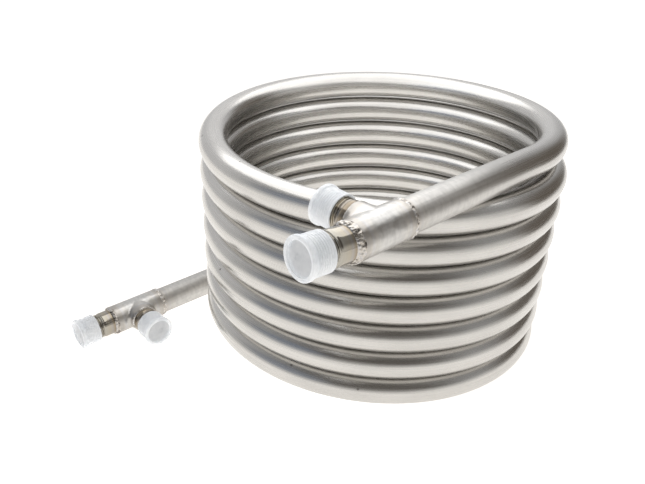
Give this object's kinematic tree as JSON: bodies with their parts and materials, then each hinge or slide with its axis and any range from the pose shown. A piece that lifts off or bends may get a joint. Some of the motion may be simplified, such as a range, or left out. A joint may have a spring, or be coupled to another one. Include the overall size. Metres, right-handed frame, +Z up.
{
  "type": "immersion wort chiller",
  "caption": "Coiled tube-in-tube steel wort chiller with a welded tee, threaded wort and water nipples and pull-off thread caps at each end.",
  "frame": {"origin": "on the surface it lies on, under the middle of its outline", "axes": "+Z up, +X to the right and -Y to the front, towards the ends of the upper lead; the coil's axis leans a few degrees from Z, as the part lies on its bottom turn and the lower wort cap"},
  "size_m": [0.4061, 0.3892, 0.2004],
  "materials": {
    "tube_steel": "satin stainless tube, drawn and brushed along its length",
    "inner_steel": "plain stainless tube",
    "tee_steel": "smooth polished stainless, slightly heat tinted near the welds",
    "nipple_steel": "turned stainless with dull cut threads",
    "weld_metal": "rippled, heat-darkened weld bead",
    "cap_plastic": "milky translucent polyethylene with fine ribs"
  },
  "bodies": {
    "coil": {"outer_tube": "tube_steel", "inner_tube": "inner_steel", "upper_tee": "tee_steel", "upper_bush": "tee_steel", "upper_wort_nipple": "nipple_steel", "upper_water_nipple": "nipple_steel", "upper_tube_weld": "weld_metal", "upper_run_weld": "weld_metal", "upper_branch_weld": "weld_metal", "lower_tee": "tee_steel", "lower_bush": "tee_steel", "lower_wort_nipple": "nipple_steel", "lower_water_nipple": "nipple_steel", "lower_tube_weld": "weld_metal", "lower_run_weld": "weld_metal", "lower_branch_weld": "weld_metal"},
    "upper_wort_cap": {"upper_wort_cap": "cap_plastic"},
    "lower_wort_cap": {"lower_wort_cap": "cap_plastic"},
    "upper_water_cap": {"upper_water_cap": "cap_plastic"},
    "lower_water_cap": {"lower_water_cap": "cap_plastic"}
  },
  "joints": [
    {"name": "upper_wort_cap_slide", "type": "slide", "parent": "coil", "child": "upper_wort_cap", "axis": [-0.7433, -0.6658, 0.0647], "range_m": [0, 0.08]},
    {"name": "lower_wort_cap_slide", "type": "slide", "parent": "coil", "child": "lower_wort_cap", "axis": [-0.7487, -0.6627, -0.0177], "range_m": [0, 0.08]},
    {"name": "upper_water_cap_slide", "type": "slide", "parent": "coil", "child": "upper_water_cap", "axis": [-0.7279, 0.6779, 0.1024], "range_m": [0, 0.08]},
    {"name": "lower_water_cap_slide", "type": "slide", "parent": "coil", "child": "lower_water_cap", "axis": [0.6625, -0.747, -0.0562], "range_m": [0, 0.08]}
  ]
}
